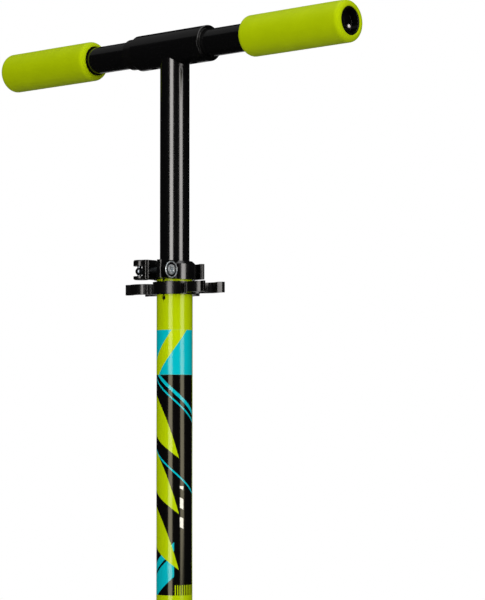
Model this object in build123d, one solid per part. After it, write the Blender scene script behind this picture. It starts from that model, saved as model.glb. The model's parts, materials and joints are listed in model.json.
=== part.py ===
"""Folding kick scooter with a telescopic T-bar, pull-out bar halves and a grip holder.

Frame: +X forward, +Y to the rider's left, +Z up, millimetres. The origin is on the ground, midway
between the two wheels. The steering parts are modelled upright in their own frame, whose origin is
the front axle's centre, and are then leaned back by the rake.
"""
from build123d import *
import math
import os

# ---------------------------------------------------------------- driving dimensions
WHEEL_RADIUS = 72.5
WHEEL_BASE = 640.0
RAKE = 8.0                      # degrees that the steering column leans back
FRONT_X = WHEEL_BASE / 2
REAR_X = -WHEEL_BASE / 2
FIT = 0.05                      # clearance between pieces of one body
RUN = 0.07                      # radial clearance of a running fit

# column, telescopic tube and handlebar
COLUMN_RADIUS = 17.0
COLUMN_BORE = 15.02
TBAR_RADIUS = 14.0
TBAR_WALL = 1.8
BAR_HEIGHT = 836.1              # bar axis above the front axle, along the column
CLAMP_TOP = BAR_HEIGHT - 203.3
CLAMP_HEIGHT = 17.5
CLAMP_MIDDLE = CLAMP_TOP - CLAMP_HEIGHT / 2
COLUMN_TOP = CLAMP_TOP - 2.5
COLUMN_FOOT = 188.0
INSERTION = 200.0               # length of the T-tube inside the column
SLEEVE_RADIUS = 17.0
SLEEVE_HALF = 45.0
SLEEVE_BORE = 14.85
BAR_TUBE_RADIUS = 13.0
BAR_TUBE_BORE = 11.7
FOAM_RADIUS = 19.3
FOAM_LENGTH = 120.5
LINER_RADIUS = 14.65            # moulded liner between the tube and the foam
GRIP_START = 96.0               # inner face of the foam grip, from the column axis
RIGHT_PULL = 11.5               # the right half is stored this far out
BUSH_RADIUS = SLEEVE_BORE - RUN
CORD_DROP = 4.8                 # the elastic cord lies this far below the bar axis
CORD_RADIUS = 1.6
BUTTON_PLACE = 26.0             # lock button, from the column axis
BUTTON_RADIUS = 3.1
BUTTON_TOP = 9.0                # the button's flange ends this far below the bar axis

# quick-release collar and grip holder
CLAMP_RADIUS = 19.75
ROD_X = 27.0                    # clamp rod, in front of the column axis
ROD_Z = CLAMP_MIDDLE - 0.9
ROD_RADIUS = 3.0
LUG_REACH = 7.0                 # how far the collar's lugs reach past the rod
INNER_LUG = (-4.0, -1.4)        # the lug on the cam's side, along the rod
OUTER_LUG = (9.3, 14.6)
SADDLE_FACE = -9.95             # the cam bears on this face of the saddle
NUT_FACE = 22.3
CROSS_PIN = 2.0                 # the cross pin that a quick-release lever turns on
CAM_PIN_Y = -20.0
CAM_RADIUS = 7.5
CAM_OFFSET = 2.5
CAM_SLOT = 4.8                  # half the height of the slot between the cam's cheeks
LEVER_RADIUS = 27.5
LEVER_THICKNESS = 4.0
LEVER_HALF = 7.3                # half the lever's height
LEVER_START = -42.0             # the lever curves round the column over this sweep
LEVER_SWEEP = -163.0
HOLDER_TOP = CLAMP_TOP - CLAMP_HEIGHT - 2.0
HOLDER_HEIGHT = 12.0
HOLDER_SCREW_X = -24.5
HOLDER_SCREW_Z = HOLDER_TOP - HOLDER_HEIGHT / 2 - 1.5
CLIP_Y = 37.0
CLIP_RADIUS = 13.0
CLIP_HEIGHT = 10.0
SLIT_WIDTH = 2.5
SLIT_ANGLE = 6.0

# lower clamp
LOWER_CLAMP_LOW = COLUMN_FOOT + 2.0
LOWER_CLAMP_HIGH = COLUMN_FOOT + 34.0
LOWER_BOLT_X = -28.5
LOWER_BOLTS_Z = (LOWER_CLAMP_LOW + 8.0, LOWER_CLAMP_HIGH - 8.0)

# fork, headset and neck
STEERER_RADIUS = 14.95
STEERER_TOP = 290.0
CROWN_BOTTOM = 84.0
CROWN_TOP = 96.0
LEG_INNER = 21.0
LEG_OUTER = 26.0
HEAD_RADIUS = 21.0
HEAD_BOTTOM = 106.0
HEAD_TOP = 170.0
AXLE_RADIUS = 4.0
NUT_SIZE = 13.0                 # across the flats of the axle nuts and bolt heads
BOSS_RADIUS = 6.0               # bosses that reach from the fork ends to the wheel's bearings
BOSS_INNER = 12.1
PIVOT_X = -75.0                 # fold pivot, in the steering frame
PIVOT_Z = 60.0
LOCK_REACH = 32.0               # fold rod, from the fold pivot
LOCK_ANGLE = 46.0
FOLD_PIN_Y = -28.2              # cross pin of the fold rod, outside the right-hand plate
FOLD_CAM_RADIUS = 5.9
FOLD_ANGLE = 82.0
ARM_HALF = 16.7
PLATE_INNER = 17.0
PLATE_OUTER = 22.0

# deck
DECK_FRONT = FRONT_X - 100.0
DECK_REAR = FRONT_X - 548.0
DECK_HALF = 56.0
DECK_BOTTOM = 62.0
DECK_TOP = 84.0
DECK_WALL = 3.0
TONGUE_HALF = 29.9
TONGUE_LENGTH = 65.0
SCREW_PITCH = 30.0
SCREW_Y = 18.0
FRONT_SCREWS = DECK_FRONT - 48.0
REAR_SCREWS = DECK_REAR + 18.0
RIM_RADIUS = 58.0
HUB_RADIUS = 16.0
BEARING_RADIUS = 11.0
GUARD_INNER = 77.0
GUARD_HALF = 16.0
LIP_HALF = 0.8
BRAKE_PIVOT_X = REAR_X + 84.0
BRAKE_PIVOT_Z = 94.0
FENDER_INNER = 80.0

STEERING = Location((FRONT_X, 0, WHEEL_RADIUS), (0, -RAKE, 0))
REAR_AXLE = Location((REAR_X, 0, WHEEL_RADIUS))


# ---------------------------------------------------------------- helpers
def save(node, shape, place=None):
    """Write one node, placed in the part's frame."""
    shape = shape.moved(place) if place else shape
    export_step(shape, f"parts/{node}.step")


def rod_z(radius, low, high, x=0.0, y=0.0):
    return Pos(x, y, (low + high) / 2) * Cylinder(radius, high - low)


def rod_y(radius, low, high, x=0.0, z=0.0):
    return Pos(x, (low + high) / 2, z) * Rot(90, 0, 0) * Cylinder(radius, high - low)


def rod_x(radius, low, high, y=0.0, z=0.0):
    return Pos((low + high) / 2, y, z) * Rot(0, 90, 0) * Cylinder(radius, high - low)


def tube_z(outer, inner, low, high):
    return rod_z(outer, low, high) - rod_z(inner, low - 1, high + 1)


def tube_y(outer, inner, low, high, x=0.0, z=0.0):
    return rod_y(outer, low, high, x, z) - rod_y(inner, low - 1, high + 1, x, z)


def block(x, y, z):
    """A box from three (low, high) pairs."""
    size = [high - low for low, high in (x, y, z)]
    centre = [(high + low) / 2 for low, high in (x, y, z)]
    return Pos(*centre) * Box(*size)


def plate_xz(points, low, high):
    """A flat plate with its outline in the XZ plane, between two Y values."""
    face = make_face(Polyline(*[(x, z) for x, z in points], close=True))
    return Pos(0, high, 0) * Rot(90, 0, 0) * extrude(face, high - low)


def plate_xy(points, low, high):
    """A flat plate with its outline in the XY plane, between two Z values."""
    face = make_face(Polyline(*points, close=True))
    return Pos(0, 0, low) * extrude(face, high - low)


def ring_segment(inner, outer, start, sweep):
    """The face of part of a ring in the XY plane, from start over sweep degrees."""
    first, middle, last = (math.radians(start + sweep * part) for part in (0, 0.5, 1))

    def at(radius, angle):
        return (radius * math.cos(angle), radius * math.sin(angle))

    outline = [
        ThreePointArc(at(outer, first), at(outer, middle), at(outer, last)),
        Line(at(outer, last), at(inner, last)),
        ThreePointArc(at(inner, last), at(inner, middle), at(inner, first)),
        Line(at(inner, first), at(outer, first)),
    ]
    return make_face(Curve() + outline)


def sector(inner, outer, start, sweep, half_width):
    """A curved strip about the Y axis, as wide to both sides of the XZ plane."""
    face = ring_segment(inner, outer, start, sweep)
    return Pos(0, half_width, 0) * Rot(90, 0, 0) * extrude(face, 2 * half_width)


def curved_wall(inner, outer, start, sweep, low, high):
    """A curved wall about the Z axis, between two heights."""
    return Pos(0, 0, low) * extrude(ring_segment(inner, outer, start, sweep), high - low)


def hexagon_y(across, low, high, x=0.0, z=0.0):
    prism = extrude(RegularPolygon(across / 2, 6, major_radius=False), high - low)
    return Pos(x, high, z) * Rot(90, 0, 0) * prism


def mirrored(shape):
    return Compound([shape, shape.mirror(Plane.XZ)])


def group(*solids):
    return Compound(list(solids))


# ---------------------------------------------------------------- T-bar
def tbar_tube():
    low = CLAMP_TOP - INSERTION
    tube = tube_z(TBAR_RADIUS, TBAR_RADIUS - TBAR_WALL, low, BAR_HEIGHT)
    return tube - rod_y(SLEEVE_RADIUS, -60, 60, z=BAR_HEIGHT)


def bar_sleeve():
    sleeve = tube_y(SLEEVE_RADIUS, SLEEVE_BORE, -SLEEVE_HALF, SLEEVE_HALF, z=BAR_HEIGHT)
    sleeve = chamfer(sleeve.edges().filter_by(GeomType.CIRCLE), 0.5)
    for side in (-1, 1):
        sleeve -= rod_z(BUTTON_RADIUS + 1.1, BAR_HEIGHT - 20, BAR_HEIGHT - 10, y=side * BUTTON_PLACE)
    return sleeve


def tbar_guide_plug():
    low = CLAMP_TOP - INSERTION
    plug = rod_z(COLUMN_BORE - RUN, low - 6, low - FIT) + rod_z(12.1, low - 1, low + 20)
    return plug - rod_z(8, low - 7, low + 21)


# ---------------------------------------------------------------- bar halves, along +Y
def bar_half(shift):
    """The pieces of one bar half on the +Y side, moved outward by shift."""
    foam_end = GRIP_START + FOAM_LENGTH
    tube_end = foam_end - 13.5
    cup_floor = foam_end - 9.0
    cup_rim = foam_end - 1.0
    z = BAR_HEIGHT

    tube = tube_y(BAR_TUBE_RADIUS, BAR_TUBE_BORE, 8, tube_end, z=z)
    hole = rod_z(BUTTON_RADIUS + 0.1, z - 20, z - 5, y=BUTTON_PLACE)
    tube -= hole
    bush = tube_y(BUSH_RADIUS, BAR_TUBE_RADIUS + FIT / 2, 12, SLEEVE_HALF, z=z)
    bush = chamfer(bush.edges().filter_by(GeomType.CIRCLE).group_by(SortBy.RADIUS)[-1], 0.4)
    bush -= hole

    foam = rod_y(FOAM_RADIUS, GRIP_START, foam_end, z=z)
    foam = fillet(foam.edges().filter_by(GeomType.CIRCLE), 5.0)
    foam -= rod_y(BAR_TUBE_RADIUS + FIT, GRIP_START - 1, foam_end + 1, z=z)
    foam -= rod_y(LINER_RADIUS + FIT, GRIP_START - 1, tube_end - 4, z=z)
    liner = tube_y(LINER_RADIUS, BAR_TUBE_RADIUS + FIT, GRIP_START + 0.6, tube_end - 4.1, z=z)

    plug = rod_y(BAR_TUBE_BORE - FIT, tube_end - 14, tube_end + 0.5, z=z)
    plug += rod_y(BAR_TUBE_RADIUS, tube_end + FIT, cup_rim, z=z)
    plug -= rod_y(11.5, cup_floor, cup_rim + 1, z=z)
    cord_axis = z - CORD_DROP
    plug -= rod_y(CORD_RADIUS + 0.1, tube_end - 20, cup_rim + 1, z=cord_axis)
    cord_tip = cup_rim - 0.6
    cord = rod_y(CORD_RADIUS, 0.3, cord_tip, z=cord_axis)
    cord = fillet(cord.edges().filter_by(GeomType.CIRCLE).sort_by(Axis.Y)[-1], 0.8)

    button = rod_z(BUTTON_RADIUS, z - BUSH_RADIUS + 0.2, z - BUTTON_TOP, y=BUTTON_PLACE)
    button = fillet(button.edges().filter_by(GeomType.CIRCLE).sort_by(Axis.Z)[0], 1.2)
    button += rod_z(BUTTON_RADIUS + 1.5, z - 10.2, z - BUTTON_TOP, y=BUTTON_PLACE)
    pieces = {
        "bar_tube": tube, "reducer_bush": bush, "foam_grip": foam, "grip_liner": liner,
        "end_plug": plug, "bar_cord": cord, "lock_button": button,
    }
    return {name: Pos(0, shift, 0) * shape for name, shape in pieces.items()}


# ---------------------------------------------------------------- column and collar
def column():
    tube = tube_z(COLUMN_RADIUS, COLUMN_BORE, COLUMN_FOOT, COLUMN_TOP)
    hole = HOLDER_TOP - HOLDER_HEIGHT - 3.9
    slit = block((5, 20), (-SLIT_WIDTH / 2, SLIT_WIDTH / 2), (hole, COLUMN_TOP + 1))
    slit += rod_x(2.2, 5, 20, z=hole + 0.6)
    slit += Pos(12.5, 0, hole - 0.6) * Rot(45, 0, 0) * Box(15, 2.6, 2.6)
    foot_slit = block((-20, -5), (-1.25, 1.25), (COLUMN_FOOT - 1, COLUMN_FOOT + 38))
    return tube - Rot(0, 0, SLIT_ANGLE) * slit - foot_slit


def column_bush():
    return tube_z(COLUMN_BORE - 0.04, TBAR_RADIUS + RUN, COLUMN_TOP - 40, COLUMN_TOP)


def lug(y, half_height):
    """A flat lug on the rod, with its two front upright edges rounded."""
    body = block((10, ROD_X + LUG_REACH), y, (CLAMP_MIDDLE - half_height, CLAMP_MIDDLE + half_height))
    return fillet(body.edges().filter_by(Axis.Z).group_by(Axis.X)[-1], 1.0)


def clamp_ring():
    low = CLAMP_TOP - CLAMP_HEIGHT
    ring = rod_z(CLAMP_RADIUS, low, CLAMP_TOP)
    ring = chamfer(ring.edges().filter_by(GeomType.CIRCLE).sort_by(Axis.Z)[-1], 2.8)
    ring += lug(INNER_LUG, 8.6) + lug(OUTER_LUG, 8.6)
    ring -= rod_z(COLUMN_RADIUS + FIT, low - 1, COLUMN_TOP + FIT)
    ring -= rod_z(TBAR_RADIUS + 0.3, low, CLAMP_TOP + 1)
    ring -= block((8, 22), (INNER_LUG[1], -INNER_LUG[1]), (low - 1, CLAMP_TOP + 1))
    return ring - rod_y(ROD_RADIUS + 0.1, -20, 20, x=ROD_X, z=ROD_Z)


def clamp_rod():
    rod = rod_y(ROD_RADIUS, CAM_PIN_Y, OUTER_LUG[1] + 3, x=ROD_X, z=ROD_Z)
    barrel = Pos(ROD_X, CAM_PIN_Y, ROD_Z) * Sphere(3.9)
    return rod + barrel + rod_z(CROSS_PIN, ROD_Z - 8.0, ROD_Z + 9.6, ROD_X, CAM_PIN_Y)


def clamp_nut():
    """A flared cup nut, with a hexagon socket in the boss in the middle of its dish."""
    start = OUTER_LUG[1] + FIT
    nut = Rot(-90, 0, 0) * Cone(5.0, 8.0, NUT_FACE - start)
    nut = Pos(ROD_X, (start + NUT_FACE) / 2, ROD_Z) * nut
    nut = chamfer(nut.edges().filter_by(GeomType.CIRCLE).sort_by(Axis.Y)[-1], 0.3)
    nut -= tube_y(6.8, 4.7, NUT_FACE - 1.5, NUT_FACE + 1, x=ROD_X, z=ROD_Z)
    nut -= hexagon_y(5.0, NUT_FACE - 3.4, NUT_FACE + 1, x=ROD_X, z=ROD_Z)
    return nut - rod_y(ROD_RADIUS + FIT, 13, OUTER_LUG[1] + 3 + FIT, x=ROD_X, z=ROD_Z)


def clamp_saddle():
    """The block between the cam and the collar's inner lug."""
    saddle = block((ROD_X - 6.5, ROD_X + LUG_REACH + 0.5), (SADDLE_FACE, INNER_LUG[0] - FIT),
                   (CLAMP_MIDDLE - 9.0, CLAMP_MIDDLE + 9.2))
    saddle = fillet(saddle.edges().filter_by(Axis.Z).group_by(Axis.X)[-1], 1.6)
    return saddle - rod_y(ROD_RADIUS + 0.1, -20, 20, x=ROD_X, z=ROD_Z)


def clamp_lever():
    cam = rod_z(CAM_RADIUS, CLAMP_MIDDLE - 9.0, CLAMP_MIDDLE + 9.6, ROD_X, CAM_PIN_Y + CAM_OFFSET)
    cam = fillet(cam.edges().filter_by(GeomType.CIRCLE), 1.5)
    low, high = CLAMP_MIDDLE - LEVER_HALF, CLAMP_MIDDLE + LEVER_HALF
    inner, outer = LEVER_RADIUS - LEVER_THICKNESS / 2, LEVER_RADIUS + LEVER_THICKNESS / 2
    lever = cam + curved_wall(inner, outer, LEVER_START, LEVER_SWEEP, low, high)
    tip = math.radians(LEVER_START + LEVER_SWEEP)
    lever += rod_z(2.6, low, high, LEVER_RADIUS * math.cos(tip), LEVER_RADIUS * math.sin(tip))
    lever -= rod_z(12.5, ROD_Z - CAM_SLOT, ROD_Z + CAM_SLOT, ROD_X + 1.5, CAM_PIN_Y)
    return lever - rod_z(CROSS_PIN + RUN, low - 5, high + 5, ROD_X, CAM_PIN_Y)


def grip_holder():
    low, high = HOLDER_TOP - HOLDER_HEIGHT, HOLDER_TOP
    clip_low = low + 1.0
    clip_high = clip_low + CLIP_HEIGHT
    holder = rod_z(20.6, low, high)
    for side in (-1, 1):
        clip = rod_z(CLIP_RADIUS + 3.0, clip_low, clip_high, 0, CLIP_Y)
        clip += block((-7, 7), (15, 26), (clip_low, clip_high))
        mouth = plate_xy([(0, CLIP_Y), (-16, CLIP_Y + 13.5), (-16, CLIP_Y + 30),
                          (16, CLIP_Y + 30), (16, CLIP_Y + 13.5)], clip_low - 1, clip_high + 1)
        clip -= mouth
        for lip in (-1, 1):
            points = [(lip * 9.2, CLIP_Y + 9.2), (lip * 11.4, CLIP_Y + 13.5),
                      (lip * 14.6, CLIP_Y + 14.0), (lip * 13.0, CLIP_Y + 8.0)]
            clip += plate_xy(points, clip_low, clip_high)
            for rib in range(3):
                spot = math.radians(150 - 12 * rib)
                clip += rod_z(0.9, clip_low, clip_high, lip * 15.9 * math.sin(spot),
                              CLIP_Y + 15.9 * math.cos(spot))
        clip -= rod_z(CLIP_RADIUS, clip_low - 1, clip_high + 1, 0, CLIP_Y)
        holder += clip if side == 1 else clip.mirror(Plane.XZ)
    holder += block((-28.5, -15), (-5.5, 5.5), (low, high - 3))
    holder -= rod_z(COLUMN_RADIUS + FIT, low - 1, high + 1)
    holder -= block((-35, -10), (-0.8, 0.8), (low - 1, high + 1))
    return holder - rod_y(1.8, -8, 8, x=HOLDER_SCREW_X, z=HOLDER_SCREW_Z)


def holder_screw():
    x, z = HOLDER_SCREW_X, HOLDER_SCREW_Z
    screw = rod_y(1.75, -5.5, 5.6, x, z) + rod_y(3.2, 5.55, 7.6, x, z)
    return screw - hexagon_y(2.5, 6.4, 8, x, z)


# ---------------------------------------------------------------- lower clamp, fork, headset
def lower_clamp():
    low, high = LOWER_CLAMP_LOW, LOWER_CLAMP_HIGH
    collar = rod_z(22, low, high)
    collar = chamfer(collar.edges().filter_by(GeomType.CIRCLE), 1.2)
    collar += block((-35, -12), (-9, 9), (low + 0.5, high - 0.5))
    collar -= rod_z(COLUMN_RADIUS + FIT, low - 1, high + 1)
    collar -= block((-40, -10), (-1, 1), (low - 1, high + 1))
    for z in LOWER_BOLTS_Z:
        collar -= rod_y(3.05, -20, 20, x=LOWER_BOLT_X, z=z)
    return collar


def lower_clamp_bolts():
    bolts = []
    for z in LOWER_BOLTS_Z:
        bolt = rod_y(3.0, -8.9, 9.1, x=LOWER_BOLT_X, z=z)
        bolt += rod_y(5.0, 9.05, 14.5, x=LOWER_BOLT_X, z=z)
        bolts.append(bolt - hexagon_y(5.0, 11.5, 16, x=LOWER_BOLT_X, z=z))
    return group(*bolts)


def fork():
    crown = rod_z(21, CROWN_BOTTOM, CROWN_TOP)
    crown += block((-14, 14), (-LEG_OUTER, LEG_OUTER), (CROWN_BOTTOM, CROWN_TOP))
    outline = [(-12, 0), (12, 0), (14, CROWN_TOP - 1), (-14, CROWN_TOP - 1)]
    for side in (-1, 1):
        low, high = sorted((side * LEG_INNER, side * LEG_OUTER))
        crown += plate_xz(outline, low, high) + rod_y(12.0, low, high)
        crown += rod_y(BOSS_RADIUS, *sorted((side * BOSS_INNER, side * LEG_OUTER)))
    crown -= rod_y(AXLE_RADIUS + FIT, -40, 40)
    crown -= rod_z(STEERER_RADIUS + 0.02, CROWN_BOTTOM + 4, CROWN_TOP + 1)
    return crown - rod_z(2.55, CROWN_BOTTOM - 1, CROWN_BOTTOM + 6)


def steerer():
    return tube_z(STEERER_RADIUS, 11.5, CROWN_BOTTOM + 4, STEERER_TOP)


def mudguard():
    guard = sector(GUARD_INNER, GUARD_INNER + 2, 22, 146, GUARD_HALF)
    for side in (-1, 1):
        lip = sector(GUARD_INNER - 5, GUARD_INNER + 1, 22, 146, LIP_HALF)
        guard += Pos(0, side * (GUARD_HALF - LIP_HALF), 0) * lip
    guard += block((-8, 8), (-8, 8), (GUARD_INNER + 1, CROWN_BOTTOM - FIT))
    return guard - rod_z(2.6, 70, CROWN_BOTTOM + 1)


def mudguard_screw():
    head = rod_z(4.2, GUARD_INNER - 2.5, GUARD_INNER - 0.15)
    return head + rod_z(2.5, GUARD_INNER - 2, CROWN_BOTTOM + 3.9)


def headset_cup(low, high, pocket_low, pocket_high, skirt_low, skirt_high):
    cup = rod_z(21.5, low, high) + rod_z(HEAD_RADIUS - 3.05, skirt_low, skirt_high)
    cup -= rod_z(18.05, pocket_low, pocket_high)
    return cup - rod_z(16.0, skirt_low - 10, skirt_high + 10)


def headset_nut():
    prism = extrude(RegularPolygon(19, 6, major_radius=False), 6.8)
    nut = Pos(0, 0, 180.1) * prism
    return nut - rod_z(STEERER_RADIUS + FIT, 170, 195)


# ---------------------------------------------------------------- wheels, about the Y axis
def wheel_tyre():
    half, rim = 14.0, RIM_RADIUS
    outline = [
        Line((rim, -11), (rim, 11)),
        Line((rim, 11), (61.5, half)),
        Line((61.5, half), (65.0, half)),
        ThreePointArc((65.0, half), (70.4, 8.6), (WHEEL_RADIUS, 0)),
        ThreePointArc((WHEEL_RADIUS, 0), (70.4, -8.6), (65.0, -half)),
        Line((65.0, -half), (61.5, -half)),
        Line((61.5, -half), (rim, -11)),
    ]
    face = make_face(Curve() + outline)
    return revolve(face, Axis.Y, 360)


def wheel_core():
    core = tube_y(RIM_RADIUS - FIT, RIM_RADIUS - 7, -11, 11)
    core += tube_y(RIM_RADIUS - 6, RIM_RADIUS - 16, -3, 3)
    core += tube_y(HUB_RADIUS + 6, BEARING_RADIUS, -9, 9)
    core += tube_y(HUB_RADIUS, BEARING_RADIUS, -12, 12)
    for spoke in range(5):
        arm = block((18, 53), (-5.5, 5.5), (-7, 7))
        arm -= block((24, 47), (3, 6), (-4, 4)) + block((24, 47), (-6, -3), (-4, 4))
        core += Rot(0, 72 * spoke, 0) * arm
    core -= rod_y(9.0, -20, 20)
    pocket = BEARING_RADIUS + 0.02
    return core - rod_y(pocket, 5 - FIT, 20) - rod_y(pocket, -20, -5 + FIT)


def wheel_bearings():
    ring = tube_y(BEARING_RADIUS, AXLE_RADIUS + 0.04, 5, 12)
    groove = tube_y(9.3, 6.2, 11.4, 13)
    return mirrored(ring - groove)


def axle():
    bolt = rod_y(AXLE_RADIUS, -33, 27) + hexagon_y(NUT_SIZE, 26.1, 31.5)
    return bolt - hexagon_y(6, 28.5, 33)


def axle_nut():
    nut = hexagon_y(NUT_SIZE, -32.5, -26.1)
    return nut - rod_y(AXLE_RADIUS + FIT, -34, -25)


# ---------------------------------------------------------------- neck and fold
def lock_point():
    angle = math.radians(LOCK_ANGLE)
    return PIVOT_X + LOCK_REACH * math.cos(angle), PIVOT_Z + LOCK_REACH * math.sin(angle)


def neck():
    outline = [(-14, 111), (-14, 163), (-32, 158), (PIVOT_X - 9, PIVOT_Z + 8),
               (PIVOT_X + 8, PIVOT_Z - 8.6), (-40, 94)]
    arm = plate_xz(outline, -ARM_HALF, ARM_HALF)
    arm += rod_y(12, -ARM_HALF, ARM_HALF, PIVOT_X, PIVOT_Z)
    arm += rod_z(HEAD_RADIUS, HEAD_BOTTOM, HEAD_TOP)
    arm -= rod_z(HEAD_RADIUS - 3, HEAD_BOTTOM - 1, HEAD_TOP + 1)
    arm -= rod_y(AXLE_RADIUS + RUN, -20, 20, PIVOT_X, PIVOT_Z)
    lock_x, lock_z = lock_point()
    return arm - rod_y(4.1, -20, 20, lock_x, lock_z)


def fold_rod():
    x, z = lock_point()
    rod = rod_y(AXLE_RADIUS, FOLD_PIN_Y, 28.6, x, z)
    return rod + cross_pin(4.6, 5.2) + cross_pin(CROSS_PIN, 7.8)


def fold_nut():
    x, z = lock_point()
    nut = hexagon_y(NUT_SIZE, PLATE_OUTER + 0.3, 28.4, x, z)
    return nut - rod_y(AXLE_RADIUS + FIT, 20, 40, x, z)


def lever_frame():
    """The fold lever's own frame: its pin along Z, the rod along Y, the lever towards X."""
    x, z = lock_point()
    return Location((x, FOLD_PIN_Y, z), (0, -78, 0))


def cross_pin(radius, half):
    return lever_frame() * Cylinder(radius, 2 * half)


def fold_lever():
    cam = Cylinder(FOLD_CAM_RADIUS, 16)
    arm = plate_xy([(0, -5.8), (30, -7.8), (56, -10), (60, -8.6), (57, -6), (30, -2.6), (0, 4)],
                   -8, 8)
    lever = cam + arm
    lever -= Cylinder(6.4, 10.8)
    lever -= block((-10, 0.5), (-8, 12), (-5.4, 5.4))
    lever -= Cylinder(CROSS_PIN + RUN, 30)
    return lever_frame() * lever


# ---------------------------------------------------------------- deck and its brackets
def deck():
    body = block((DECK_REAR, DECK_FRONT), (-DECK_HALF, DECK_HALF), (DECK_BOTTOM, DECK_TOP))
    body = fillet(body.edges().filter_by(Axis.X), 5.0)
    inner_low, inner_high = DECK_BOTTOM + DECK_WALL, DECK_TOP - DECK_WALL
    cells = [(-TONGUE_HALF - FIT, TONGUE_HALF + FIT), (33, 52.5), (-52.5, -33)]
    for low, high in cells:
        body -= block((DECK_REAR - 1, DECK_FRONT + 1), (low, high), (inner_low, inner_high))
    for x, y in screw_places(FRONT_SCREWS) + screw_places(REAR_SCREWS):
        body -= rod_z(3.1, DECK_BOTTOM - 1, inner_low + 1, x, y)
    return body


def screw_places(start):
    return [(x, y) for x in (start, start + SCREW_PITCH) for y in (-SCREW_Y, SCREW_Y)]


def underside_screws(start):
    screws = []
    for x, y in screw_places(start):
        head = rod_z(5.0, DECK_BOTTOM - 3.0, DECK_BOTTOM - FIT, x, y)
        shank = rod_z(3.0, DECK_BOTTOM - 1, DECK_BOTTOM + 15, x, y)
        screws.append(head + shank - rod_z(2.0, DECK_BOTTOM - 4, DECK_BOTTOM - 1.4, x, y))
    return group(*screws)


def grip_tape():
    tape = block((DECK_REAR + 12, DECK_FRONT - 52), (-50, 50), (DECK_TOP, DECK_TOP + 1.0))
    return fillet(tape.edges().filter_by(Axis.Z), 14)


def pivot_world():
    angle = math.radians(RAKE)
    x = FRONT_X + PIVOT_X * math.cos(angle) - PIVOT_Z * math.sin(angle)
    z = WHEEL_RADIUS + PIVOT_X * math.sin(angle) + PIVOT_Z * math.cos(angle)
    return x, z


def tongue(low, high):
    """The block of a bracket that slides into the deck's middle cell."""
    return block((low, high), (-TONGUE_HALF, TONGUE_HALF),
                 (DECK_BOTTOM + DECK_WALL + FIT, DECK_TOP - DECK_WALL - FIT))


def front_bracket():
    x, z = pivot_world()
    start = LOCK_ANGLE + RAKE
    bracket = tongue(DECK_FRONT - TONGUE_LENGTH, DECK_FRONT + 1)
    bracket += block((DECK_FRONT + FIT, DECK_FRONT + 4), (-54, 54), (DECK_BOTTOM + 1, DECK_TOP - 1))
    fan = sector(10, LOCK_REACH + 11, start - 16, FOLD_ANGLE + 32, 2.5)
    web = [(-38, 19), (-62, -37), (-62, 1 - z + DECK_BOTTOM), (-12, 1 - z + DECK_BOTTOM), (9, -8),
           (14, 4), (20, 20), (-20, 24)]
    plate = fan + plate_xz(web, -2.5, 2.5) + rod_y(15, -2.5, 2.5)
    plate -= block((-80, DECK_FRONT + FIT - x), (-5, 5), (-80, DECK_TOP + 0.3 - z))
    slot = sector(LOCK_REACH - 4.35, LOCK_REACH + 4.35, start, FOLD_ANGLE, 5)
    for angle in (math.radians(start), math.radians(start + FOLD_ANGLE)):
        slot += rod_y(4.35, -5, 5, LOCK_REACH * math.cos(angle), LOCK_REACH * math.sin(angle))
    plate -= slot
    middle = (PLATE_INNER + PLATE_OUTER) / 2
    for side in (-1, 1):
        bracket += Pos(x, side * middle, z) * plate
    bracket -= rod_y(AXLE_RADIUS + 0.04, -30, 30, x, z)
    bracket -= rod_y(86, -60, 60, FRONT_X, WHEEL_RADIUS)
    for px, py in screw_places(FRONT_SCREWS):
        bracket -= rod_z(3.05, DECK_BOTTOM, DECK_BOTTOM + 15.5, px, py)
    return bracket


def pivot_bolt():
    x, z = pivot_world()
    bolt = rod_y(AXLE_RADIUS, -28, PLATE_OUTER + 1, x, z)
    bolt += hexagon_y(NUT_SIZE, PLATE_OUTER + 0.1, PLATE_OUTER + 5.4, x, z)
    return bolt


def pivot_nut():
    x, z = pivot_world()
    nut = hexagon_y(NUT_SIZE, -PLATE_OUTER - 6.5, -PLATE_OUTER - 0.1, x, z)
    return nut - rod_y(AXLE_RADIUS + FIT, -40, -20, x, z)


def rear_yoke():
    yoke = tongue(DECK_REAR - 1, DECK_REAR + TONGUE_LENGTH)
    yoke += block((DECK_REAR - 4, DECK_REAR - FIT), (-54, 54), (DECK_BOTTOM + 1, DECK_TOP - 1))
    dx = BRAKE_PIVOT_X - REAR_X
    dz = BRAKE_PIVOT_Z - WHEEL_RADIUS
    deck_end = DECK_REAR - REAR_X - FIT
    for side in (-1, 1):
        low, high = sorted((side * LEG_INNER, side * LEG_OUTER))
        outline = [(0, -11.5), (deck_end, DECK_BOTTOM + 1 - WHEEL_RADIUS),
                   (deck_end, DECK_TOP - 1 - WHEEL_RADIUS), (dx + 7, dz), (dx - 7, dz), (70, 11),
                   (0, 11.5)]
        arm = plate_xz(outline, low, high) + rod_y(12, low, high) + rod_y(8, low, high, dx, dz)
        arm += rod_y(BOSS_RADIUS, *sorted((side * BOSS_INNER, side * LEG_OUTER)))
        arm -= rod_y(AXLE_RADIUS + FIT, -40, 40) + rod_y(3.03, -40, 40, dx, dz)
        yoke += REAR_AXLE * arm
    for px, py in screw_places(REAR_SCREWS):
        yoke -= rod_z(3.05, DECK_BOTTOM, DECK_BOTTOM + 15.5, px, py)
    return yoke


def brake_pin():
    x, z = BRAKE_PIVOT_X, BRAKE_PIVOT_Z
    return rod_y(3.0, -28, 28, x, z) + rod_y(4.6, 26.1, 28, x, z) + rod_y(4.6, -28, -26.1, x, z)


def brake_spring():
    """Two turns of a torsion spring round the brake pin."""
    coil = Helix(pitch=2.4, height=12.0, radius=4.6)
    profile = (coil ^ 0) * Circle(0.8)
    wire = sweep(profile, path=coil)
    return Pos(BRAKE_PIVOT_X, 6.0, BRAKE_PIVOT_Z) * Rot(90, 0, 0) * wire


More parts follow.
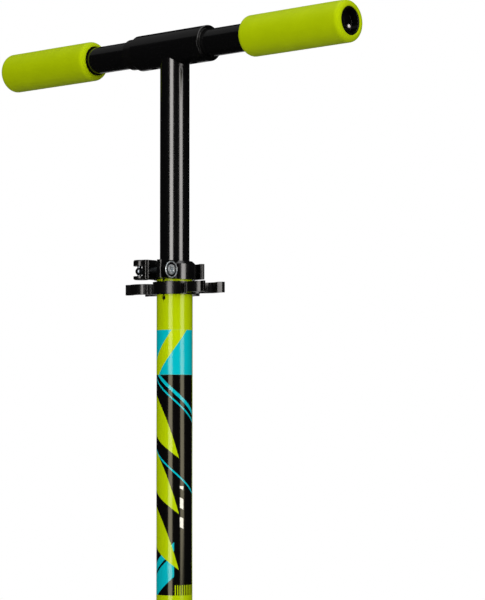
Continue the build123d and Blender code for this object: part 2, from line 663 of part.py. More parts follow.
def fender_brake():
    fender = sector(FENDER_INNER, FENDER_INNER + 2.6, 24, 132, 19)
    for side in (-1, 1):
        lip = sector(FENDER_INNER - 4, FENDER_INNER + 1, 40, 100, 1.0)
        fender += Pos(0, side * 18, 0) * lip
    for rib in range(4):
        angle = 78 + 10 * rib
        fender += sector(FENDER_INNER + 2, FENDER_INNER + 4.4, angle, 4, 12)
    dx = BRAKE_PIVOT_X - REAR_X
    dz = BRAKE_PIVOT_Z - WHEEL_RADIUS
    start = math.radians(28)
    top = FENDER_INNER + 2.6
    web = [(dx - 4, dz - 4.5), (dx + 5.5, dz + 3), (top * math.cos(start), top * math.sin(start)),
           (FENDER_INNER * math.cos(start), FENDER_INNER * math.sin(start))]
    for side in (-1, 1):
        low, high = sorted((side * 8, side * (LEG_INNER - 0.4)))
        fender += rod_y(6.2, low, high, dx, dz) + plate_xz(web, low, high)
    fender -= rod_y(3.06, -40, 40, dx, dz)
    return fender


# ---------------------------------------------------------------- assembly
def save_bar_halves():
    left = bar_half(0.0)
    right = bar_half(RIGHT_PULL)
    for name, shape in left.items():
        save(f"left_{name}", shape, STEERING)
    for name, shape in right.items():
        save(f"right_{name}", shape.mirror(Plane.XZ), STEERING)


def save_wheel(name, place):
    save(f"{name}_tyre", wheel_tyre(), place)
    save(f"{name}_core", wheel_core(), place)
    save(f"{name}_bearings", wheel_bearings(), place)
    save(f"{name}_axle", axle(), place)


def save_steering():
    pieces = {
        "tbar_tube": tbar_tube(), "bar_sleeve": bar_sleeve(), "tbar_guide_plug": tbar_guide_plug(),
        "column": column(), "column_bush": column_bush(), "clamp_ring": clamp_ring(),
        "clamp_rod": clamp_rod(), "clamp_nut": clamp_nut(), "clamp_saddle": clamp_saddle(),
        "clamp_lever": clamp_lever(),
        "grip_holder": grip_holder(), "holder_screw": holder_screw(), "lower_clamp": lower_clamp(),
        "lower_clamp_bolts": lower_clamp_bolts(), "fork": fork(), "steerer": steerer(),
        "mudguard": mudguard(), "mudguard_screw": mudguard_screw(), "headset_nut": headset_nut(),
        "crown_race": tube_z(19, STEERER_RADIUS + 0.02, CROWN_TOP + FIT, 99),
        "headset_cone": tube_z(19.5, STEERER_RADIUS + 0.02, 177, 180),
        "headset_cups": group(headset_cup(99.5, HEAD_BOTTOM, 90, 105.2, 104, 118),
                              headset_cup(HEAD_TOP, 176.5, 170.8, 190, 158, 171)),
        "headset_bearings": group(tube_z(18, STEERER_RADIUS + RUN, 99.15, 105.15),
                                  tube_z(18, STEERER_RADIUS + RUN, 170.85, 176.85)),
        "neck": neck(), "fold_rod": fold_rod(), "fold_nut": fold_nut(),
        "fold_lever": fold_lever(), "front_wheel_nut": axle_nut(),
    }
    for name, shape in pieces.items():
        save(name, shape, STEERING)


def save_deck():
    pieces = {
        "deck": deck(), "grip_tape": grip_tape(), "front_bracket": front_bracket(),
        "pivot_bolt": pivot_bolt(), "rear_yoke": rear_yoke(),
        "deck_nuts": group(pivot_nut(), REAR_AXLE * axle_nut()),
        "deck_screws": group(underside_screws(FRONT_SCREWS), underside_screws(REAR_SCREWS)),
        "brake_pin": brake_pin(), "brake_spring": brake_spring(),
        "fender_brake": REAR_AXLE * fender_brake(),
    }
    for name, shape in pieces.items():
        save(name, shape)


if __name__ == "__main__":
    os.makedirs("parts", exist_ok=True)
    save_bar_halves()
    save_wheel("front_wheel", STEERING)
    save_wheel("rear_wheel", REAR_AXLE)
    save_steering()
    save_deck()
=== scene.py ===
"""Looks for the folding kick scooter: materials, foam grips, studio and camera."""
import json
import math

import bpy
from mathutils import Matrix, Vector, noise


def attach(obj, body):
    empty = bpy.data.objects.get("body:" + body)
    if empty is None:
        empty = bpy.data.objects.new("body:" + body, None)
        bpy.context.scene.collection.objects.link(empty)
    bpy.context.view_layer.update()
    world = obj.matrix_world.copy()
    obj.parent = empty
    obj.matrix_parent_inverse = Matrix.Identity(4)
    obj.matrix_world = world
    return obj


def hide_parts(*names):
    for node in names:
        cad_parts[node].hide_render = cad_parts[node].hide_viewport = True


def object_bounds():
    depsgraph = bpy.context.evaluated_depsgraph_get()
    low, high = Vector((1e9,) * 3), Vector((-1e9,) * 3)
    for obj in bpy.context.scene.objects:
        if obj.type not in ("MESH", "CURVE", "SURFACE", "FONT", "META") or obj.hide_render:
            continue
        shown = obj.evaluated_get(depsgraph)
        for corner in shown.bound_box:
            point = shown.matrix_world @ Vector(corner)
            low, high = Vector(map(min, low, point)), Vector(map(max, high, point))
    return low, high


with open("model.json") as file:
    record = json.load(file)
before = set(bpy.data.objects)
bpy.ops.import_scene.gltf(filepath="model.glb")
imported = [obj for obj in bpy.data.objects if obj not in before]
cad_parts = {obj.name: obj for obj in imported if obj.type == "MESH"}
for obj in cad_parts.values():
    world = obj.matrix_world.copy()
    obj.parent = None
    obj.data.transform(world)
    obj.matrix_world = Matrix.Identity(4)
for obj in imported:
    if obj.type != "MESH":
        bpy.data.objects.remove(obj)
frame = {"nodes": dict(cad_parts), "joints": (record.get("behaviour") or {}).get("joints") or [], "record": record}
cad_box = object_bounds()

MM = 0.001


# ---------------------------------------------------------------- places, from the frame
def joint(name):
    return next(j for j in frame["joints"] if j["name"] == name)


def steering_matrix():
    """The steering frame: origin at the front axle, Z up the column, Y to the rider's left."""
    steer = joint("steer")
    up = Vector(steer["axis"]).normalized()
    left = Vector((0, 1, 0))
    forward = left.cross(up).normalized()
    matrix = Matrix((forward, left, up)).transposed().to_4x4()
    matrix.translation = Vector(steer["pos_m"])
    return matrix


STEERING = steering_matrix()
TO_STEERING = STEERING.inverted()


def steering_box(node):
    """Lowest and highest corners of a node in the steering frame."""
    points = [TO_STEERING @ v.co for v in frame["nodes"][node].data.vertices]
    low = Vector([min(p[i] for p in points) for i in range(3)])
    high = Vector([max(p[i] for p in points) for i in range(3)])
    return low, high


# ---------------------------------------------------------------- node building
class Field:
    """A value in a node tree, with the arithmetic that joins Math nodes to it."""

    def __init__(self, tree, socket):
        self.tree = tree
        self.socket = socket

    def math(self, operation, *others, clamp=False):
        node = self.tree.nodes.new("ShaderNodeMath")
        node.operation = operation
        node.use_clamp = clamp
        for slot, value in enumerate((self,) + others):
            if isinstance(value, Field):
                self.tree.links.new(value.socket, node.inputs[slot])
            else:
                node.inputs[slot].default_value = value
        return Field(self.tree, node.outputs[0])

    def __add__(self, other):
        return self.math("ADD", other)

    def __sub__(self, other):
        return self.math("SUBTRACT", other)

    def __mul__(self, other):
        return self.math("MULTIPLY", other)

    def __truediv__(self, other):
        return self.math("DIVIDE", other)

    def above(self, edge, soft):
        """0 below the edge, 1 above it."""
        return ((self - edge) / soft).math("ADD", 0.5, clamp=True)

    def below(self, edge, soft):
        return ((self - edge) / -soft).math("ADD", 0.5, clamp=True)

    def between(self, low, high, soft):
        return self.above(low, soft) * self.below(high, soft)

    def either(self, other):
        return self.math("MAXIMUM", other)


class Finish:
    """A material under construction: a Principled shader and the nodes that feed it."""

    def __init__(self, name, color, roughness, **settings):
        self.material = bpy.data.materials.new(name)
        self.material.use_nodes = True
        self.tree = self.material.node_tree
        self.shader = self.tree.nodes["Principled BSDF"]
        self.set("Base Color", (*color, 1.0))
        self.set("Roughness", roughness)
        for key, value in settings.items():
            self.set(key.replace("_", " "), value)
        coordinates = self.tree.nodes.new("ShaderNodeTexCoord")
        self.position = coordinates.outputs["Object"]

    def set(self, name, value):
        self.shader.inputs[name].default_value = value

    def link(self, source, name):
        self.tree.links.new(source, self.shader.inputs[name])

    def noise(self, scale, detail=3.0, roughness=0.55, stretch=None):
        """Noise over the object's own coordinates; scale is in features per metre."""
        node = self.tree.nodes.new("ShaderNodeTexNoise")
        node.inputs["Scale"].default_value = scale
        node.inputs["Detail"].default_value = detail
        node.inputs["Roughness"].default_value = roughness
        self.tree.links.new(self.stretched(stretch), node.inputs["Vector"])
        return Field(self.tree, node.outputs["Fac"])

    def stretched(self, stretch):
        if stretch is None:
            return self.position
        node = self.tree.nodes.new("ShaderNodeMapping")
        node.inputs["Scale"].default_value = stretch
        self.tree.links.new(self.position, node.inputs["Vector"])
        return node.outputs["Vector"]

    def cells(self, scale, stretch=None):
        node = self.tree.nodes.new("ShaderNodeTexVoronoi")
        node.inputs["Scale"].default_value = scale
        self.tree.links.new(self.stretched(stretch), node.inputs["Vector"])
        return Field(self.tree, node.outputs["Distance"])

    def axes(self, matrix=None):
        """X, Y and Z as fields, in metres, in the frame that the matrix leads to."""
        if matrix is None:
            split = self.tree.nodes.new("ShaderNodeSeparateXYZ")
            self.tree.links.new(self.position, split.inputs[0])
            return [Field(self.tree, split.outputs[i]) for i in range(3)]
        rows = []
        for row in matrix.to_3x3():
            dot = self.tree.nodes.new("ShaderNodeVectorMath")
            dot.operation = "DOT_PRODUCT"
            dot.inputs[1].default_value = row
            self.tree.links.new(self.position, dot.inputs[0])
            rows.append(Field(self.tree, dot.outputs["Value"]))
        return [field + offset for field, offset in zip(rows, matrix.translation)]

    def mix(self, factor, first, second):
        """Colour first where the factor is 0, second where it is 1."""
        node = self.tree.nodes.new("ShaderNodeMix")
        node.data_type = "RGBA"
        self.tree.links.new(factor.socket, node.inputs["Factor"])
        for slot, value in (("A", first), ("B", second)):
            socket = next(s for s in node.inputs if s.name == slot and s.type == "RGBA")
            if isinstance(value, tuple):
                socket.default_value = (*value, 1.0)
            else:
                self.tree.links.new(value, socket)
        return next(s for s in node.outputs if s.type == "RGBA")

    def shade(self, factor, first, second):
        """Base colour first where the factor is 0, second where it is 1."""
        self.link(self.mix(factor, first, second), "Base Color")

    def gloss(self, field, low, high):
        """Roughness from low, where the field is 0, to high, where it is 1."""
        self.link((field * (high - low) + low).socket, "Roughness")

    def bump(self, height, distance, strength=1.0, edge=0.0):
        """Bump the surface by a height field, over edges rounded by edge metres."""
        node = self.tree.nodes.new("ShaderNodeBump")
        node.inputs["Strength"].default_value = strength
        node.inputs["Distance"].default_value = distance
        self.tree.links.new(height.socket, node.inputs["Height"])
        if edge:
            bevel = self.tree.nodes.new("ShaderNodeBevel")
            bevel.samples = 4
            bevel.inputs["Radius"].default_value = edge
            self.tree.links.new(bevel.outputs["Normal"], node.inputs["Normal"])
        self.link(node.outputs["Normal"], "Normal")
        return self


# ---------------------------------------------------------------- colours
LIME = (0.385, 0.520, 0.0008)
LIME_FOAM = (0.335, 0.450, 0.0006)
TEAL = (0.0008, 0.430, 0.500)
INK = (0.0022, 0.0021, 0.0023)
BLACK_PAINT = (0.0016, 0.0016, 0.0018)
BLACK_PLASTIC = (0.0030, 0.0030, 0.0032)
ZINC = (0.56, 0.60, 0.66)


# ---------------------------------------------------------------- materials
def gloss_black():
    """Gloss black paint on steel tube, with a faint orange peel and fine dust."""
    finish = Finish("gloss_black_paint", BLACK_PAINT, 0.16, IOR=1.66)
    dust = finish.noise(900, 4).above(0.62, 0.16)
    finish.shade(dust, BLACK_PAINT, (0.004, 0.004, 0.0043))
    smears = finish.noise(26, 3, stretch=(1, 1, 0.25))
    finish.gloss(smears, 0.09, 0.20)
    peel = finish.noise(420, 2, 0.4)
    return finish.bump(peel, 0.000012, 0.5, edge=0.0004).material


def satin_black(name):
    """Semi-gloss black on castings and pressed steel, with a fine grain."""
    finish = Finish(name, INK, 0.18, IOR=1.62)
    grain = finish.noise(1500, 3)
    wear = finish.noise(60, 4).above(0.64, 0.2)
    finish.shade(wear, (0.0018, 0.0018, 0.002), (0.0045, 0.0045, 0.005))
    finish.gloss(finish.noise(40, 3), 0.13, 0.22)
    return finish.bump(grain, 0.00002, 0.4, edge=0.0005).material


def black_plastic():
    """Moulded black nylon: a soft sheen over a very fine spark-eroded grain."""
    finish = Finish("black_nylon", BLACK_PLASTIC, 0.3, IOR=1.47)
    grain = finish.cells(2600)
    flow = finish.noise(55, 3)
    finish.shade(flow, (0.0016, 0.0016, 0.0018), (0.0036, 0.0035, 0.0034))
    finish.gloss(flow, 0.15, 0.26)
    return finish.bump(grain, 0.000025, 0.4, edge=0.0005).material


def gloss_plastic():
    """Polished black plastic of the bars' end cups."""
    finish = Finish("gloss_black_plastic", BLACK_PLASTIC, 0.12, IOR=1.6)
    flow = finish.noise(120, 3)
    finish.shade(flow, (0.0016, 0.0016, 0.0017), (0.003, 0.003, 0.003))
    finish.gloss(flow, 0.08, 0.16)
    return finish.bump(flow, 0.00002, 0.3, edge=0.0004).material


def zinc_steel():
    """Bright zinc plate with a bluish cast, finely brushed."""
    finish = Finish("zinc_plate", ZINC, 0.22, Metallic=1.0)
    cloud = finish.noise(240, 4)
    finish.shade(cloud, (0.42, 0.47, 0.52), (0.72, 0.74, 0.76))
    finish.gloss(cloud, 0.14, 0.34)
    brush = finish.noise(2400, 2, stretch=(1, 0.15, 1))
    return finish.bump(brush, 0.00002, 0.5, edge=0.0003).material


def foam():
    """Closed-cell EVA foam: matte, finely pitted, a little uneven in colour, with painted shade darkening the
    pits.
    """
    finish = Finish("lime_eva_foam", LIME_FOAM, 0.62, IOR=1.35)
    mottle = finish.noise(70, 4)
    deep = (0.298, 0.405, 0.0004)
    pale = (0.368, 0.488, 0.0010)
    tint = finish.mix(mottle, deep, pale)
    # painted shade: the pits are darkened in the base colour, as shade falls in them
    painted_pit_shade = finish.cells(1900).below(0.22, 0.25)
    finish.shade(painted_pit_shade * 0.35, tint, (0.235, 0.320, 0.0003))
    finish.gloss(finish.noise(300, 3), 0.52, 0.74)
    cells = finish.noise(1400, 4) * 0.7 + finish.cells(2100) * 0.5
    finish.set("Specular Tint", (0.80, 0.90, 0.02, 1.0))
    finish.set("Sheen Weight", 0.03)
    finish.set("Sheen Roughness", 0.5)
    finish.set("Sheen Tint", (0.70, 0.85, 0.10, 1.0))
    return finish.bump(cells, 0.00008, 0.6).material


COLUMN_RADIUS_MM = 17.0
DECAL_GAP = 33.5                # from the grip holder down to the decal, in millimetres
DECAL_TURN = 6.0                # degrees that the decal is turned to the rider's left
DECAL_LENGTH = 247.5
DECAL_HALF = 33.5               # half the decal's width round the tube
DECAL_HEAD = 42.0               # depth of the teal field at the decal's top
DECAL_FOOT = 238.0              # the tick marks start at this depth
PENNANTS = (60.0, 112.0, 164.0)
PINSTRIPES = ((46, 50), (55, 57), (122, 124))
SOFT = 0.35                     # softness of the graphic's edges


def column_paint():
    """Gloss lime paint with a plain banded graphic."""
    finish = Finish("column_lime_paint", LIME, 0.15, IOR=1.37)
    finish.set("Specular Tint", (1.0, 0.94, 0.66, 1.0))
    x, y, z = finish.axes(TO_STEERING)
    holder_low = steering_box("grip_holder")[0].z
    depth = (z * -1 + (holder_low - DECAL_GAP * MM)) / MM
    angle = y.math("ARCTAN2", x) - math.radians(DECAL_TURN)
    across = angle * COLUMN_RADIUS_MM
    lime_shade = finish.mix(finish.noise(30, 3), (0.372, 0.505, 0.0006), (0.398, 0.535, 0.0010))
    ink, teal, lime, white = decal_masks(across, depth)
    color = finish.mix(ink, lime_shade, INK)
    color = finish.mix(teal, color, TEAL)
    color = finish.mix(lime, color, (0.405, 0.545, 0.0008))
    color = finish.mix(white, color, (0.80, 0.80, 0.72))
    finish.link(color, "Base Color")
    finish.gloss(finish.noise(18, 3), 0.10, 0.18)
    peel = finish.noise(380, 2, 0.4)
    return finish.bump(peel, 0.00001, 0.5, edge=0.0004).material


def pennant(across, depth, top):
    """A curved band that starts at the tube's side and narrows to a point in front."""
    start, end, width, drop = -17.0, 15.5, 35.0, 60.0
    along = ((across - start) / (end - start)).math("MAXIMUM", 0.0)
    upper = along.math("POWER", 2.0) * drop + top
    lower = along * (drop - width) + (top + width)
    return (depth - upper).above(0, SOFT) * (depth - lower).below(0, SOFT) * across.below(end, SOFT)


def decal_masks(across, depth):
    """Layers of a plain graphic on the unrolled tube: black field, lime, teal and white bands.

    across runs to the rider's left and depth runs down the tube, both in millimetres.
    """
    inside = across.between(-DECAL_HALF, DECAL_HALF, SOFT) * depth.between(0, DECAL_LENGTH, SOFT)
    head = inside * depth.below(DECAL_HEAD, SOFT)
    ink = inside * depth.above(DECAL_HEAD, SOFT)
    slant = depth + across * 1.4
    fall = depth - across * 0.9
    rise = depth + across * 0.9

    teal = head
    for low, high in PINSTRIPES:
        teal = teal.either(ink * fall.between(low, high, SOFT))
    foot = rise.between(208, 216, SOFT).either(rise.between(219, 240, SOFT))
    teal = teal.either(ink * foot * across.below(11, SOFT))

    lime = head * slant.between(12, 33, SOFT)
    for top in PENNANTS:
        lime = lime.either(ink * pennant(across, depth, top))
    ticks = (across * 0.9).math("PINGPONG", 1.0).above(0.55, 0.25)
    lime = lime.either(ink * depth.above(DECAL_FOOT, SOFT) * ticks * across.above(11, SOFT))

    dashes = (depth - across * 0.5).math("PINGPONG", 9.0).above(4.2, SOFT)
    white = ink * dashes * across.between(16.5, 20.0, SOFT) * depth.between(146, 189, SOFT)
    return ink, teal, lime, white


CORD_TIP = 1.4 * MM             # length of the melted tip
CORD_TIP_SOFT = 0.3 * MM


def cord_finish():
    """Black braided elastic cord with a pale melted tip."""
    finish = Finish("elastic_cord", (0.02, 0.02, 0.02), 0.6)
    _, y, _ = finish.axes(TO_STEERING)
    braid = finish.noise(1600, 2, stretch=(1, 0.4, 1))
    left_end = steering_box("left_bar_cord")[1].y
    right_end = steering_box("right_bar_cord")[0].y
    tip = y.above(left_end - CORD_TIP, CORD_TIP_SOFT)
    tip = tip.either(y.below(right_end + CORD_TIP, CORD_TIP_SOFT))
    sleeve = finish.mix(braid, (0.010, 0.010, 0.010), (0.030, 0.030, 0.030))
    finish.shade(tip, sleeve, (0.66, 0.62, 0.59))
    return finish.bump(braid, 0.00005, 0.6).material


def wheel_tyre():
    """Cast polyurethane with faint moulding flow."""
    finish = Finish("cast_polyurethane", LIME, 0.42, IOR=1.5)
    flow = finish.noise(32, 4)
    finish.shade(flow, (0.34, 0.46, 0.001), (0.41, 0.55, 0.002))
    finish.gloss(finish.noise(120, 3), 0.34, 0.52)
    return finish.bump(finish.noise(700, 3), 0.00003, 0.5, edge=0.0006).material


def wheel_core():
    finish = Finish("wheel_core_nylon", BLACK_PLASTIC, 0.34, IOR=1.5)
    flow = finish.noise(48, 3)
    finish.shade(flow, (0.004, 0.004, 0.0044), (0.0085, 0.0085, 0.009))
    finish.gloss(flow, 0.26, 0.42)
    return finish.bump(finish.cells(2200), 0.00003, 0.4, edge=0.0006).material


def deck_paint():
    """Lime powder coat on extruded aluminium, with faint drawing lines along it."""
    finish = Finish("deck_lime_paint", LIME, 0.34, IOR=1.5, Coat_Weight=0.6,
                    Coat_Roughness=0.12)
    lines = finish.noise(260, 3, stretch=(0.03, 1, 1))
    finish.shade(lines, (0.36, 0.49, 0.0006), (0.41, 0.55, 0.0012))
    finish.gloss(finish.noise(22, 3), 0.28, 0.42)
    return finish.bump(lines, 0.00002, 0.4, edge=0.0005).material


def grip_tape():
    """Black abrasive tape with glinting grit, in a plain pattern of slanted bands."""
    finish = Finish("abrasive_tape", (0.010, 0.010, 0.010), 0.85)
    x, y, _ = finish.axes()
    grit = finish.cells(1500)
    sparkle = grit.below(0.12, 0.1)
    slant = (x + y * 0.8) / MM
    half = 120.0                    # the stripes lie this far to both sides of the middle
    wide, thin_start, thin_end, soft = 14, 22, 27, 0.6
    stripes = slant.between(-half, -half + wide, soft).either(slant.between(half - wide, half, soft))
    stripes = stripes.either(slant.between(-half + thin_start, -half + thin_end, soft))
    base = finish.mix(sparkle * 0.6, (0.008, 0.008, 0.0083), (0.060, 0.060, 0.062))
    finish.shade(stripes, base, (0.26, 0.36, 0.004))
    return finish.bump(grit, 0.0004, 0.8).material


def clamp_nut_metal():
    """Zinc cup nut: bright rim and socket; the flank is painted near-black as a painted dark reflection, and the
    dish is near-black too.
    """
    finish = Finish("clamp_nut_zinc", ZINC, 0.3, Metallic=0.72)
    x, y, z = finish.axes(TO_STEERING)
    low, high = steering_box("clamp_nut")
    centre = (low + high) / 2
    dx, dz = x - centre.x, z - centre.z
    radius = (dx * dx + dz * dz).math("SQRT") / MM
    dish = radius.between(4.75, 6.75, 0.1) * y.above(high.y - 4 * MM, 0.2 * MM)
    # painted dark reflection: the flank is painted near-black for the dark surroundings that the zinc reflects
    painted_flank_reflection = radius.above(4.8, 0.1) * y.below(high.y - 0.9 * MM, 0.1 * MM)
    cloud = finish.noise(420, 4)
    bright = finish.mix(cloud.above(0.5, 0.2), (0.30, 0.36, 0.40), (0.90, 0.94, 0.96))
    # the dish and the flank, a painted dark reflection, are painted near-black
    finish.shade(dish.either(painted_flank_reflection), bright, (0.004, 0.004, 0.004))
    finish.gloss(cloud, 0.16, 0.34)
    return finish.bump(cloud, 0.0004, 0.5, edge=0.0003).material


def dark_steel():
    """Oiled dark steel of the quick-release rod."""
    finish = Finish("dark_steel", (0.16, 0.18, 0.20), 0.3, Metallic=1.0)
    cloud = finish.noise(300, 3)
    finish.shade(cloud, (0.10, 0.12, 0.14), (0.24, 0.26, 0.28))
    finish.gloss(cloud, 0.22, 0.36)
    return finish.bump(cloud, 0.00002, 0.4, edge=0.0003).material


MATERIALS = {
    "gloss_black": gloss_black(),
    "satin_black_metal": satin_black("satin_black_paint"),
    "black_casting": satin_black("black_cast_aluminium"),
    "black_plastic": black_plastic(),
    "zinc_steel": zinc_steel(),
    "lime_foam": foam(),
    "lime_paint": column_paint(),
    "cord": cord_finish(),
    "wheel_pu": wheel_tyre(),
    "wheel_plastic": wheel_core(),
    "deck_aluminium": deck_paint(),
    "grip_tape": grip_tape(),
}
OWN_MATERIALS = {"clamp_nut": clamp_nut_metal(), "clamp_rod": dark_steel()}
OWN_MATERIALS["left_end_plug"] = OWN_MATERIALS["right_end_plug"] = gloss_plastic()


def assign(obj, material):
    obj.data.materials.clear()
    obj.data.materials.append(material)


for part in frame["record"]["subparts"]:
    node = part["node"]
    assign(frame["nodes"][node], OWN_MATERIALS.get(node, MATERIALS[part["material_slot"]]))


# ---------------------------------------------------------------- foam grips
GRIP_BORE = 13.05 * MM
GRIP_MOUTH = 14.7 * MM          # wider bore that holds the moulded liner
GRIP_SKIN = 15.5 * MM           # points further out than this belong to the grip's outside
AROUND = 144


def quarter(steps):
    """Pairs of (1 - sin, 1 - cos) over a quarter turn, for a rounded edge."""
    turns = [math.pi / 2 * i / steps for i in range(steps + 1)]
    return [(1 - math.sin(turn), 1 - math.cos(turn)) for turn in turns]


def grip_profile(radius, start, end):
    """Half outline of a grip, (distance along the bar, radius), round the whole wall."""
    nose = 5.4 * MM
    tail = 5.0 * MM
    corner = quarter(8)
    points = [(start + nose * a, radius - nose * b) for a, b in reversed(corner)]
    body = 46
    for i in range(1, body):
        points.append((start + nose + (end - tail - start - nose) * i / body, radius))
    points += [(end - tail * a, radius - tail * b) for a, b in corner]
    bore, mouth_bore = GRIP_BORE, GRIP_MOUTH
    lip = 0.7 * MM
    points += [(end, bore + lip), (end - 0.2 * MM, bore + 0.2 * MM), (end - lip, bore)]
    seat = end - 17 * MM
    points += [(end - 8 * MM, bore), (seat, bore), (seat, mouth_bore)]
    points += [(start + 30 * MM, mouth_bore), (start + lip, mouth_bore),
               (start + 0.2 * MM, mouth_bore + 0.2 * MM), (start, mouth_bore + lip)]
    return points


def grip_vertices(profile, centre_z, side):
    """Points of the turned grip, its outside shrunk a little and unevenly, as cut foam is."""
    vertices = []
    for along, radius in profile:
        for k in range(AROUND):
            turn = 2 * math.pi * k / AROUND
            c, s = math.cos(turn), math.sin(turn)
            wave = noise.noise(Vector((c * 1.4, along * 26 + side, s * 1.4)))
            fine = noise.noise(Vector((c * 5, along * 260, s * 5 + side)))
            shrink = (0.10 + 0.10 * wave + 0.035 * fine) * MM if radius > GRIP_SKIN else 0.0
            r = radius - shrink
            vertices.append(STEERING @ Vector((r * c, side * along, centre_z + r * s)))
    return vertices


def grip_faces(rings, side):
    """Quads between each ring of points and the next, closed back to the first."""
    faces = []
    for i in range(rings):
        j = (i + 1) % rings
        for k in range(AROUND):
            m = (k + 1) % AROUND
            quad = (i * AROUND + k, i * AROUND + m, j * AROUND + m, j * AROUND + k)
            faces.append(quad if side < 0 else quad[::-1])
    return faces


def make_grip(name, node, side):
    """A foam grip turned about the bar axis."""
    low, high = steering_box(node)
    start, end = sorted((abs(low.y), abs(high.y)))
    profile = grip_profile((high.z - low.z) / 2, start, end)
    vertices = grip_vertices(profile, (high.z + low.z) / 2, side)
    mesh = bpy.data.meshes.new(name)
    mesh.from_pydata(vertices, [], grip_faces(len(profile), side))
    mesh.validate()
    mesh.update()
    mesh.polygons.foreach_set("use_smooth", [True] * len(mesh.polygons))
    grip = bpy.data.objects.new(name, mesh)
    bpy.context.scene.collection.objects.link(grip)
    assign(grip, MATERIALS["lime_foam"])
    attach(grip, "bar_left" if side > 0 else "bar_right")
    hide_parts(node)


make_grip("foam_grip_left", "left_foam_grip", 1)
make_grip("foam_grip_right", "right_foam_grip", -1)


# ---------------------------------------------------------------- studio
FLOOR_RADIUS = 1.6
FLOOR_DROP = 0.0004             # keeps the floor just clear of the tyres
FLOOR_FADE = 0.7                # width of the ring over which the floor fades into the backdrop


def disc(name, radius, location):
    mesh = bpy.data.meshes.new(name)
    around = 96
    turns = [2 * math.pi * k / around for k in range(around)]
    rim = [(radius * math.cos(turn), radius * math.sin(turn), 0) for turn in turns]
    mesh.from_pydata(rim, [], [tuple(range(around))])
    obj = bpy.data.objects.new(name, mesh)
    obj.location = location
    bpy.context.scene.collection.objects.link(obj)
    return obj


def floor_material():
    """Pale matt floor that fades out towards its rim."""
    finish = Finish("studio_floor", (0.85, 0.85, 0.85), 0.8)
    finish.shade(finish.noise(6, 3), (0.84, 0.84, 0.84), (0.86, 0.86, 0.86))
    x, y, _ = finish.axes()
    radius = (x * x + y * y).math("SQRT")
    middle = FLOOR_RADIUS - FLOOR_FADE / 2
    finish.link(radius.below(middle, FLOOR_FADE).socket, "Alpha")
    return finish.material


floor = disc("studio_floor", FLOOR_RADIUS, (0, 0, cad_box[0][2] - FLOOR_DROP))
floor.visible_glossy = False    # black flags beside the set would hide it from the gloss paint
assign(floor, floor_material())


def column_point(height):
    """A point on the column axis, height metres above the front axle."""
    return STEERING @ Vector((0, 0, height))


def softbox(name, azimuth, elevation, distance, size, radiance, target, color=(1, 1, 1), spread=180):
    """A rectangular lamp of the given radiance, turned towards the target."""
    width, height = size
    light = bpy.data.lights.new(name, "AREA")
    light.shape = "RECTANGLE"
    light.size = width
    light.size_y = height
    light.energy = radiance * math.pi * width * height
    light.color = color
    light.spread = math.radians(spread)
    lamp = bpy.data.objects.new(name, light)
    a, e = math.radians(azimuth), math.radians(elevation)
    away = Vector((math.cos(a) * math.cos(e), math.sin(a) * math.cos(e), math.sin(e)))
    lamp.location = target + away * distance
    lamp.rotation_euler = away.to_track_quat("Z", "Y").to_euler()
    bpy.context.scene.collection.objects.link(lamp)


WARM = (1.0, 0.965, 0.935)
bar_middle = column_point(0.84)
high = column_point(1.35)
softbox("strip_front", 16.5, 0, 2.0, (0.86, 2.3), 2.8, high, WARM, spread=110)
softbox("strip_side", 91.0, 0, 2.0, (0.90, 2.3), 2.2, high, WARM, spread=110)
softbox("key_above", 44, 50, 2.0, (1.5, 1.3), 1.02, bar_middle)
softbox("floor_wash", 0, 90, 2.6, (2.0, 2.0), 1.0, Vector((0, 0, 0)), spread=130)
softbox("ceiling", -90, 46, 2.2, (2.0, 1.6), 0.12, bar_middle)
softbox("backdrop_low", -136, -20, 2.4, (2.6, 0.3), 0.68, bar_middle)


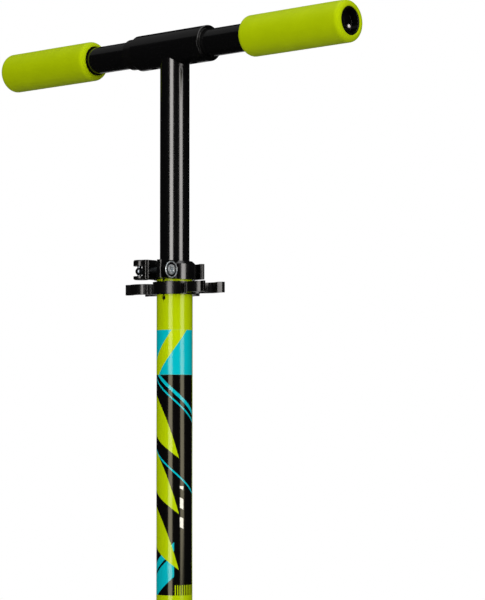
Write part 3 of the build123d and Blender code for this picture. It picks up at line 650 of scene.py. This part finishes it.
def make_world():
    """White to the camera, dim to everything else, as a cut-out against white is."""
    world = bpy.data.worlds.new("studio")
    world.use_nodes = True
    tree = world.node_tree
    background = tree.nodes["Background"]
    background.inputs["Color"].default_value = (1, 1, 1, 1)
    path = tree.nodes.new("ShaderNodeLightPath")
    strength = tree.nodes.new("ShaderNodeMapRange")
    strength.inputs["To Min"].default_value = 0.01
    strength.inputs["To Max"].default_value = 1.0
    tree.links.new(path.outputs["Is Camera Ray"], strength.inputs["Value"])
    tree.links.new(strength.outputs["Result"], background.inputs["Strength"])
    bpy.context.scene.world = world


make_world()


# ---------------------------------------------------------------- camera
CAMERA_AZIMUTH = 43.96          # from straight ahead towards the rider's left
CAMERA_DISTANCE = 2.0966
CAMERA_HEIGHT = 0.4765          # above the front axle, along the column
CAMERA_YAW = 1.752
CAMERA_PITCH = 3.279
CAMERA_ROLL = -0.037
FOCAL_PIXELS = 2222.4
IMAGE_LONG_SIDE = 600
SENSOR = 36.0


def make_camera():
    a = math.radians(CAMERA_AZIMUTH)
    yaw, pitch, roll = (math.radians(v) for v in (CAMERA_YAW, CAMERA_PITCH, CAMERA_ROLL))
    up = Vector((0, 0, 1))
    ahead = Vector((-math.cos(a), -math.sin(a), 0))
    right = ahead.cross(up)
    ahead, right = (ahead * math.cos(yaw) + right * math.sin(yaw),
                    right * math.cos(yaw) - ahead * math.sin(yaw))
    ahead, up = (ahead * math.cos(pitch) + up * math.sin(pitch),
                 up * math.cos(pitch) - ahead * math.sin(pitch))
    right, up = (right * math.cos(roll) + up * math.sin(roll),
                 up * math.cos(roll) - right * math.sin(roll))
    local = Matrix((right, up, -ahead)).transposed().to_4x4()
    local.translation = Vector((CAMERA_DISTANCE * math.cos(a), CAMERA_DISTANCE * math.sin(a),
                                CAMERA_HEIGHT))
    data = bpy.data.cameras.new("camera")
    data.sensor_width = SENSOR
    data.sensor_fit = "AUTO"
    data.lens = FOCAL_PIXELS / IMAGE_LONG_SIDE * SENSOR
    data.clip_start = 0.05
    data.clip_end = 60
    camera = bpy.data.objects.new("camera", data)
    camera.matrix_world = STEERING @ local
    bpy.context.scene.collection.objects.link(camera)
    bpy.context.scene.camera = camera


make_camera()
bpy.context.scene.view_settings.view_transform = "Standard"
